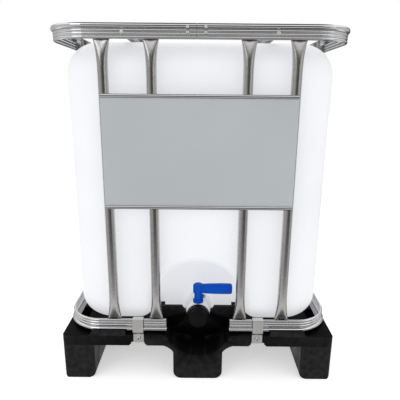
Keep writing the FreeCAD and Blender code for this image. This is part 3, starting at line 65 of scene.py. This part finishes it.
# ------------------------------------------------------------------ camera
CAMERA_PLACE = Vector((0.003, -1.633, 0.826))
CAMERA_PITCH = math.radians(14.57)  # below the horizon
CAMERA_ROLL = math.radians(0.5)
CAMERA_LENS = 35.87
CAMERA_SENSOR = 36.0
CAMERA_CLIP = (0.05, 60.0)


def make_camera():
    data = bpy.data.cameras.new("camera")
    data.lens = CAMERA_LENS
    data.sensor_width = CAMERA_SENSOR
    data.clip_start, data.clip_end = CAMERA_CLIP
    camera = bpy.data.objects.new("camera", data)
    tilt = Matrix.Rotation(math.pi / 2 - CAMERA_PITCH, 4, "X")
    roll = Matrix.Rotation(CAMERA_ROLL, 4, "Z")
    camera.matrix_world = Matrix.Translation(CAMERA_PLACE) @ tilt @ roll
    bpy.context.scene.collection.objects.link(camera)
    bpy.context.scene.camera = camera


# ------------------------------------------------------------------ materials
def fill_ramp(ramp, stops):
    """Sets a colour ramp's stops from (position, colour) pairs; a plain number is a grey."""
    elements = ramp.elements
    while len(elements) < len(stops):
        elements.new(0.5)
    for element, (position, colour) in zip(elements, stops):
        element.position = position
        grey = isinstance(colour, (int, float))
        element.color = (colour, colour, colour, 1) if grey else (*colour, 1)


class Recipe:
    """A Principled material and short calls that add nodes to it."""

    def __init__(self, name, **sockets):
        self.material = bpy.data.materials.new(name)
        self.material.use_nodes = True
        self.tree = self.material.node_tree
        self.shader = self.tree.nodes["Principled BSDF"]
        self.place = self.node("ShaderNodeTexCoord").outputs["Object"]
        for socket, value in sockets.items():
            self.shader.inputs[socket.replace("_", " ")].default_value = value

    def node(self, kind, **settings):
        made = self.tree.nodes.new(kind)
        for key, value in settings.items():
            setattr(made, key, value)
        return made

    def link(self, source, target):
        self.tree.links.new(source, target)

    def stretched(self, scale):
        """Object coordinates scaled by three numbers, so that a texture can run along one axis."""
        mapping = self.node("ShaderNodeMapping")
        mapping.inputs["Scale"].default_value = scale
        self.link(self.place, mapping.inputs["Vector"])
        return mapping.outputs["Vector"]

    def noise(self, scale, detail=3.0, roughness=0.5, stretch=(1, 1, 1)):
        made = self.node("ShaderNodeTexNoise")
        made.inputs["Scale"].default_value = scale
        made.inputs["Detail"].default_value = detail
        made.inputs["Roughness"].default_value = roughness
        self.link(self.stretched(stretch), made.inputs["Vector"])
        return made.outputs["Fac"]

    def ramp(self, source, stops):
        made = self.node("ShaderNodeValToRGB")
        fill_ramp(made.color_ramp, stops)
        self.link(source, made.inputs["Fac"])
        return made.outputs["Color"]

    def mixed(self, factor, first, second):
        made = self.node("ShaderNodeMix", data_type="RGBA")
        self.link(factor, made.inputs["Factor"])
        self.link(first, made.inputs["A"])
        self.link(second, made.inputs["B"])
        return made.outputs["Result"]

    def colour(self, source):
        self.link(source, self.shader.inputs["Base Color"])

    def roughness(self, source):
        self.link(source, self.shader.inputs["Roughness"])

    def bump(self, source, depth, strength=1.0, below=None):
        """Relief of that depth in metres. below is the relief it lies on."""
        made = self.node("ShaderNodeBump")
        made.inputs["Strength"].default_value = strength
        made.inputs["Distance"].default_value = depth
        self.link(source, made.inputs["Height"])
        if below is not None:
            self.link(below, made.inputs["Normal"])
        self.link(made.outputs["Normal"], self.shader.inputs["Normal"])
        return made.outputs["Normal"]


BOTTLE_TONE = [(0.3, (0.335, 0.34, 0.35)), (0.7, (0.355, 0.36, 0.37))]
BOTTLE_ROUGHNESS = [(0.3, 0.34), (0.7, 0.46)]
BOTTLE_PAINTED_GLOW = 1.5  # painted glow: emission that stands in for light coming through the wall and evens out the bottle's shading, its shaded niche too
BOTTLE_WAVE = 0.8 * MM
BOTTLE_GRAIN = 0.06 * MM


def bottle_plastic():
    """Natural white blow-moulded polyethylene: satin, slightly uneven, with a painted glow for the
    light through its wall that also lightens its shade.
    """
    made = Recipe("bottle_plastic", Specular_IOR_Level=0.3, Emission_Strength=BOTTLE_PAINTED_GLOW)
    cloud = made.noise(3.0, detail=2.0)
    tone = made.ramp(cloud, BOTTLE_TONE)
    made.colour(tone)
    # painted glow: the bottle's tone is also the colour of its emission
    made.link(tone, made.shader.inputs["Emission Color"])
    made.roughness(made.ramp(made.noise(38.0), BOTTLE_ROUGHNESS))
    wave = made.bump(made.noise(9.0, detail=1.0), BOTTLE_WAVE, 0.35)
    made.bump(made.noise(260.0, detail=2.0), BOTTLE_GRAIN, 0.5, below=wave)
    return made.material


PALLET_WEAR_AND_HIGHLIGHT_EDGES = [(0.53, 0.0), (0.62, 1.0)]  # share of rubbed plastic and painted highlight by how sharp the edge is
PALLET_TONE = [(0.35, (0.0022, 0.0017, 0.0017)), (0.75, (0.0030, 0.0024, 0.0024))]
PALLET_RUBBED_AND_HIGHLIGHT = [(0.3, (0.010, 0.009, 0.010)), (0.7, (0.022, 0.021, 0.022))]
PALLET_ROUGHNESS = [(0.3, 0.36), (0.7, 0.50)]
PALLET_GRAIN = 0.05 * MM
PALLET_WAVE = 0.4 * MM


def pallet_plastic():
    """Moulded black polyethylene with a fine grain and lighter sharp edges, partly rubbed wear and
    partly painted highlight.
    """
    made = Recipe("pallet_plastic", Specular_IOR_Level=0.05)
    # sharp edges get lighter: partly rubbed wear, partly painted highlight along the edge lines
    edge = made.node("ShaderNodeNewGeometry").outputs["Pointiness"]
    edge_wear_and_highlight = made.ramp(edge, PALLET_WEAR_AND_HIGHLIGHT_EDGES)
    plain = made.ramp(made.noise(14.0, detail=6.0), PALLET_TONE)
    rubbed_and_highlight = made.ramp(made.noise(60.0), PALLET_RUBBED_AND_HIGHLIGHT)
    made.colour(made.mixed(edge_wear_and_highlight, plain, rubbed_and_highlight))
    made.roughness(made.ramp(made.noise(22.0, detail=5.0), PALLET_ROUGHNESS))
    grain = made.bump(made.noise(900.0, detail=2.0), PALLET_GRAIN, 0.4)
    made.bump(made.noise(30.0, detail=3.0), PALLET_WAVE, 0.15, below=grain)
    return made.material


SPANGLE_PER_METRE = 90.0
SPANGLE_SHARE = [(0.4, 0.25), (0.6, 0.5)]
MARK_DEPTH = 0.02 * MM
RAIL_MARK_DEPTH = 0.0001 * MM
# how often the drawing marks change per metre along X, Y and Z
ALONG_Z = (420, 420, 5)
ALONG_RAIL = (60, 60, 520)
ALONG_Y = (420, 5, 420)


def galvanised(name, dark, light, rough, stretch, bump_depth=MARK_DEPTH):
    """Zinc-coated steel: cloudy spangle and drawing marks that run along the strip."""
    made = Recipe(name, Metallic=1.0)
    marks = made.noise(1.0, detail=6.0, roughness=0.6, stretch=stretch)
    spangle = made.node("ShaderNodeTexVoronoi")
    spangle.inputs["Scale"].default_value = SPANGLE_PER_METRE
    made.link(made.place, spangle.inputs["Vector"])
    cloud = made.ramp(marks, [(0.3, dark), (0.7, light)])
    flakes = made.ramp(spangle.outputs["Distance"], [(0.0, dark), (0.6, light)])
    share = made.ramp(made.noise(30.0), SPANGLE_SHARE)
    made.colour(made.mixed(share, cloud, flakes))
    made.roughness(made.ramp(marks, [(0.25, rough - 0.05), (0.75, rough + 0.08)]))
    made.bump(marks, bump_depth, 0.6)
    return made.material


COATING_TONE = [(0.3, (0.375, 0.395, 0.405)), (0.7, (0.395, 0.415, 0.425))]
COATING_ROUGHNESS = [(0.3, 0.38), (0.7, 0.48)]
COATING_GRAIN = 0.02 * MM
MOULDED_GRAIN = 0.05 * MM
BRASS_GRAIN = 0.02 * MM


def plate_coating():
    """Flat grey coating of the label plate, faintly cloudy."""
    made = Recipe("plate_coating", Specular_IOR_Level=0.3)
    made.colour(made.ramp(made.noise(4.0, detail=2.0), COATING_TONE))
    made.roughness(made.ramp(made.noise(120.0), COATING_ROUGHNESS))
    made.bump(made.noise(700.0), COATING_GRAIN, 0.4)
    return made.material


def moulded(name, low, high, rough, grain=MOULDED_GRAIN, **sockets):
    """Injection-moulded plastic with a fine grain and a slightly uneven gloss."""
    made = Recipe(name, **sockets)
    made.colour(made.ramp(made.noise(40.0, detail=3.0), [(0.3, low), (0.7, high)]))
    made.roughness(made.ramp(made.noise(90.0), [(0.3, rough - 0.05), (0.7, rough + 0.07)]))
    made.bump(made.noise(1100.0, detail=2.0), grain, 0.4)
    return made.material


# dark and light tone, roughness, run of the drawing marks and, for the rails, their depth
STEELS = {
    "tube_steel": ((0.42, 0.41, 0.40), (0.54, 0.53, 0.515), 0.20, ALONG_Z),
    "rail_steel": ((0.70, 0.70, 0.71), (0.74, 0.74, 0.75), 0.09, ALONG_RAIL, RAIL_MARK_DEPTH),
    "plain_steel": ((0.42, 0.42, 0.42), (0.6, 0.6, 0.6), 0.34, ALONG_Y),
    "clamp_steel": ((0.56, 0.56, 0.55), (0.70, 0.69, 0.67), 0.34, ALONG_Z),
    "fastener_steel": ((0.86, 0.86, 0.86), (0.95, 0.95, 0.95), 0.55, ALONG_Y),
}
# dark and light tone, roughness and other settings
MOULDED = {
    # natural_plastic carries a painted glow: a faint emission that lightens its shading
    "natural_plastic": ((0.50, 0.50, 0.51), (0.55, 0.55, 0.56), 0.38, {
        "Specular_IOR_Level": 0.3, "Emission_Strength": 0.3,
        "Emission_Color": (0.8, 0.81, 0.83, 1.0),
    }),
    "black_plastic": ((0.003, 0.002, 0.002), (0.005, 0.004, 0.004), 0.36, {
        "Specular_IOR_Level": 0.12,
    }),
    "seal_rubber": ((0.012, 0.012, 0.012), (0.025, 0.025, 0.025), 0.75, {}),
    "blue_plastic": ((0.0, 0.060, 0.42), (0.0, 0.070, 0.47), 0.36, {"Specular_IOR_Level": 0.08}),
    "screw_brass": ((0.55, 0.40, 0.16), (0.75, 0.58, 0.28), 0.30, {
        "grain": BRASS_GRAIN, "Metallic": 1.0,
    }),
}


def make_materials():
    """One Blender material for each of the record's slots."""
    made = {
        "bottle_plastic": bottle_plastic(),
        "pallet_plastic": pallet_plastic(),
        "plate_coating": plate_coating(),
    }
    for name, values in STEELS.items():
        made[name] = galvanised(name, *values)
    for name, (dark, light, rough, settings) in MOULDED.items():
        made[name] = moulded(name, dark, light, rough, **settings)
    return made


CREASE = math.radians(32)


def paint_nodes(materials):
    """Gives each CAD node the material of its slot and smooth shading up to a crease angle."""
    slot_of = {row["node"]: row["material_slot"] for row in frame["record"]["subparts"]}
    for name, node in NODES.items():
        node.data.materials.clear()
        node.data.materials.append(materials[slot_of[name]])
        node.data.shade_smooth()
        node.data.set_sharp_from_angle(angle=CREASE)


# ------------------------------------------------------------------ small detail on the CAD pieces
WELD_LENGTH = 9 * MM
WELD_RADIUS = 1.5 * MM
WELD_RIPPLES = 5
WELD_SMOOTHNESS = 2  # subdivisions of each ripple
WELD_DARK = (0.20, 0.19, 0.18)
WELD_LIGHT = (0.34, 0.33, 0.31)
WELD_ROUGHNESS = 0.45
WELD_OFF_CENTRE = 14.5 * MM  # along the rail, either side of a tube's middle
TUBE_END_HALF_DEPTH = 5.5 * MM  # half the thickness of a tube's flattened end
HEM_HEIGHT = 10 * MM
HEM_OUT = 3.6 * MM
HEM_SKIN = 0.35 * MM
HEM_STEPS = 14
HEM_END_INSET = 1.5 * MM
CLAMP_BOLT_Z = 125 * MM
CLAMP_FRONT_X = 177 * MM
CLAMP_SIDE_Y = 330 * MM
SOCKET_RADIUS = 2.6 * MM
SOCKET_TAPER = 0.9
SOCKET_PROUD = 0.05 * MM
SOCKET_SIDES = 6
SIDES = {"front": (0, -1), "rear": (0, 1), "left": (-1, 0), "right": (1, 0)}


def add_piece(name, fill, material):
    """Makes a piece that rides on the container, from a function that fills a bmesh."""
    shape = bmesh.new()
    fill(shape)
    bmesh.ops.recalc_face_normals(shape, faces=shape.faces)
    mesh = bpy.data.meshes.new(name)
    shape.to_mesh(mesh)
    shape.free()
    mesh.materials.append(material)
    mesh.shade_smooth()
    mesh.set_sharp_from_angle(angle=CREASE)
    piece = bpy.data.objects.new(name, mesh)
    bpy.context.scene.collection.objects.link(piece)
    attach(piece, "container")


def weld_places():
    """(middle of the bead, direction along the rail) at each end of each tube."""
    bottom_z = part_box("bottom_rail")[1].z
    top_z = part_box("top_rail")[0].z
    for name in NODES:
        if not name.startswith("tube_"):
            continue
        out = Vector((*SIDES[name.split("_")[1]], 0))
        along = Vector((-out.y, out.x, 0))
        low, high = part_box(name)
        middle = (low + high) / 2
        for z in (bottom_z, top_z):
            for sign in (-1, 1):
                place = middle + out * TUBE_END_HALF_DEPTH + along * (sign * WELD_OFF_CENTRE)
                yield Vector((place.x, place.y, z)), along


def weld_beads(shape):
    """Rippled fillet welds between the tubes' flat ends and the rails' lips."""
    for place, along in weld_places():
        turn = Matrix.Rotation(math.atan2(along.y, along.x), 4, "Z")
        for ripple in range(WELD_RIPPLES):
            share = ripple / (WELD_RIPPLES - 1) - 0.5
            swell = 1 - share * share
            spot = Matrix.Translation(place + along * (share * WELD_LENGTH)) @ turn
            size = Matrix.Diagonal((WELD_RADIUS, WELD_RADIUS * swell, WELD_RADIUS * swell, 1))
            bmesh.ops.create_icosphere(
                shape, subdivisions=WELD_SMOOTHNESS, radius=1.0, matrix=spot @ size
            )


def hem_skin(low_z):
    """Bright rolled edge over the hem of the label plate that starts at that height."""
    low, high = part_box("label_plate")
    back = low.y + HEM_OUT

    def fill(shape):
        rings = []
        for x in (low.x + HEM_END_INSET, high.x - HEM_END_INSET):
            ring = []
            for step in range(HEM_STEPS + 1):
                angle = math.pi * (step / HEM_STEPS - 0.5)
                y = back - (HEM_OUT + HEM_SKIN) * math.cos(angle)
                z = low_z + HEM_HEIGHT / 2 + (HEM_HEIGHT / 2 + HEM_SKIN) * math.sin(angle)
                ring.append(shape.verts.new((x, y, z)))
            rings.append(ring)
        first, second = rings
        for k in range(HEM_STEPS):
            shape.faces.new((first[k], first[k + 1], second[k + 1], second[k]))
        shape.faces.new((first[0], second[0], second[-1], first[-1]))
        shape.faces.new(first)
        shape.faces.new(list(reversed(second)))

    return fill


def clamp_socket_shade(shape):
    """Black six-sided patches, barely proud of the round heads of the clamps' screws, two on each
    side: painted shade standing in for their socket recesses.
    """
    low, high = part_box("clamp_bolts")
    places = []
    for sign in (-1, 1):
        for y, push in ((low.y, -1), (high.y, 1)):
            place = (sign * CLAMP_FRONT_X, y + push * SOCKET_PROUD, CLAMP_BOLT_Z)
            places.append((place, "X"))
        for x, push in ((low.x, -1), (high.x, 1)):
            place = (x + push * SOCKET_PROUD, sign * CLAMP_SIDE_Y, CLAMP_BOLT_Z)
            places.append((place, "Y"))
    for place, turn_axis in places:
        turn = Matrix.Rotation(math.pi / 2, 4, turn_axis)
        bmesh.ops.create_cone(
            shape, cap_ends=True, segments=SOCKET_SIDES, radius1=SOCKET_RADIUS,
            radius2=SOCKET_RADIUS * SOCKET_TAPER, depth=4 * SOCKET_PROUD,
            matrix=Matrix.Translation(place) @ turn,
        )


def add_detail(materials):
    weld = galvanised("weld_steel", WELD_DARK, WELD_LIGHT, WELD_ROUGHNESS, ALONG_RAIL)
    add_piece("weld_beads", weld_beads, weld)
    low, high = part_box("label_plate")
    for name, z in (("label_hem_bottom", low.z), ("label_hem_top", high.z - HEM_HEIGHT)):
        add_piece(name, hem_skin(z), materials["rail_steel"])
    # painted shade: black patches in place of the shaded sockets of the clamp screws
    add_piece("clamp_bolt_socket_shade", clamp_socket_shade, materials["black_plastic"])


# ------------------------------------------------------------------ floor and light
FLOOR_SIZE = 40
FLOOR_TONE = (0.9, 0.9, 0.9, 1)
FLOOR_GLOW = 0.5
WHITE = (1, 1, 1, 1)


def make_floor():
    """White floor that is a little darker where the object shades it."""
    bpy.ops.mesh.primitive_plane_add(size=FLOOR_SIZE)
    floor = bpy.context.object
    floor.name = "floor"
    made = Recipe("floor_white", Roughness=1.0)
    made.shader.inputs["Base Color"].default_value = FLOOR_TONE
    made.shader.inputs["Emission Color"].default_value = WHITE
    made.shader.inputs["Emission Strength"].default_value = FLOOR_GLOW
    floor.data.materials.append(made.material)
    floor.visible_glossy = False


# brightness of the studio in reflections, by the X and by the Z of the direction
GLOSS_BY_SIDE = [
    (-1.0, 0.62), (-0.55, 0.42), (-0.15, 0.13), (0.35, 0.07), (0.65, 0.12), (0.8, 0.5), (1.0, 0.6)
]
GLOSS_BY_HEIGHT = [
    (-1.0, 0.05), (-0.75, 0.06), (-0.62, 1.0), (-0.49, 0.95), (-0.42, 0.12), (0.1, 0.03),
    (0.3, 0.1), (0.5, 1.0), (0.78, 1.2), (0.85, 0.04), (1.0, 0.03)
]
AMBIENT = (0.90, 0.905, 0.915, 1)


def make_world():
    """White studio: plain white where it is seen directly, with bright and dark bands in gloss."""
    world = bpy.data.worlds.new("studio")
    bpy.context.scene.world = world
    world.use_nodes = True
    tree = world.node_tree
    tree.nodes.clear()

    def node(kind, **settings):
        made = tree.nodes.new(kind)
        for key, value in settings.items():
            setattr(made, key, value)
        return made

    def calculated(operation, *values):
        made = node("ShaderNodeMath", operation=operation)
        for socket, value in zip(made.inputs, values):
            if isinstance(value, float):
                socket.default_value = value
            else:
                tree.links.new(value, socket)
        return made.outputs["Value"]

    def ramp_of(component, stops):
        """Brightness by one component of the direction; stops run from -1 to 1."""
        made = node("ShaderNodeValToRGB")
        fill_ramp(made.color_ramp, [((value + 1) / 2, bright) for value, bright in stops])
        tree.links.new(calculated("MULTIPLY_ADD", component, 0.5, 0.5), made.inputs["Fac"])
        return made.outputs["Color"]

    direction = node("ShaderNodeSeparateXYZ")
    tree.links.new(node("ShaderNodeTexCoord").outputs["Generated"], direction.inputs["Vector"])
    side = ramp_of(direction.outputs["X"], GLOSS_BY_SIDE)
    height = ramp_of(direction.outputs["Z"], GLOSS_BY_HEIGHT)
    gloss = calculated("MAXIMUM", side, height)
    rays = node("ShaderNodeLightPath")
    looks = node("ShaderNodeMix", data_type="RGBA")
    tree.links.new(rays.outputs["Is Glossy Ray"], looks.inputs["Factor"])
    looks.inputs["A"].default_value = AMBIENT
    tree.links.new(gloss, looks.inputs["B"])
    seen = node("ShaderNodeMix", data_type="RGBA")
    tree.links.new(rays.outputs["Is Camera Ray"], seen.inputs["Factor"])
    tree.links.new(looks.outputs["Result"], seen.inputs["A"])
    seen.inputs["B"].default_value = WHITE
    background = node("ShaderNodeBackground")
    tree.links.new(seen.outputs["Result"], background.inputs["Color"])
    background.inputs["Strength"].default_value = 1.0
    output = node("ShaderNodeOutputWorld")
    tree.links.new(background.outputs["Background"], output.inputs["Surface"])


# name, place, side in metres and power in watts
LIGHTS = [("key", (-2.2, -3.4, 2.6), 1.8, 14), ("fill", (2.6, -2.8, 1.6), 2.2, 5)]


def make_light(name, place, size, power):
    """Soft square light aimed at the middle of the object."""
    data = bpy.data.lights.new(name, "AREA")
    data.size = size
    data.energy = power
    light = bpy.data.objects.new(name, data)
    aim = (CAD_LOW + CAD_HIGH) / 2
    light.location = place
    light.rotation_euler = (aim - Vector(place)).to_track_quat("-Z", "Y").to_euler()
    bpy.context.scene.collection.objects.link(light)


# ------------------------------------------------------------------ everything
make_camera()
made_materials = make_materials()
paint_nodes(made_materials)
add_detail(made_materials)
make_floor()
make_world()
for light_values in LIGHTS:
    make_light(*light_values)
bpy.context.scene.view_settings.view_transform = "Standard"
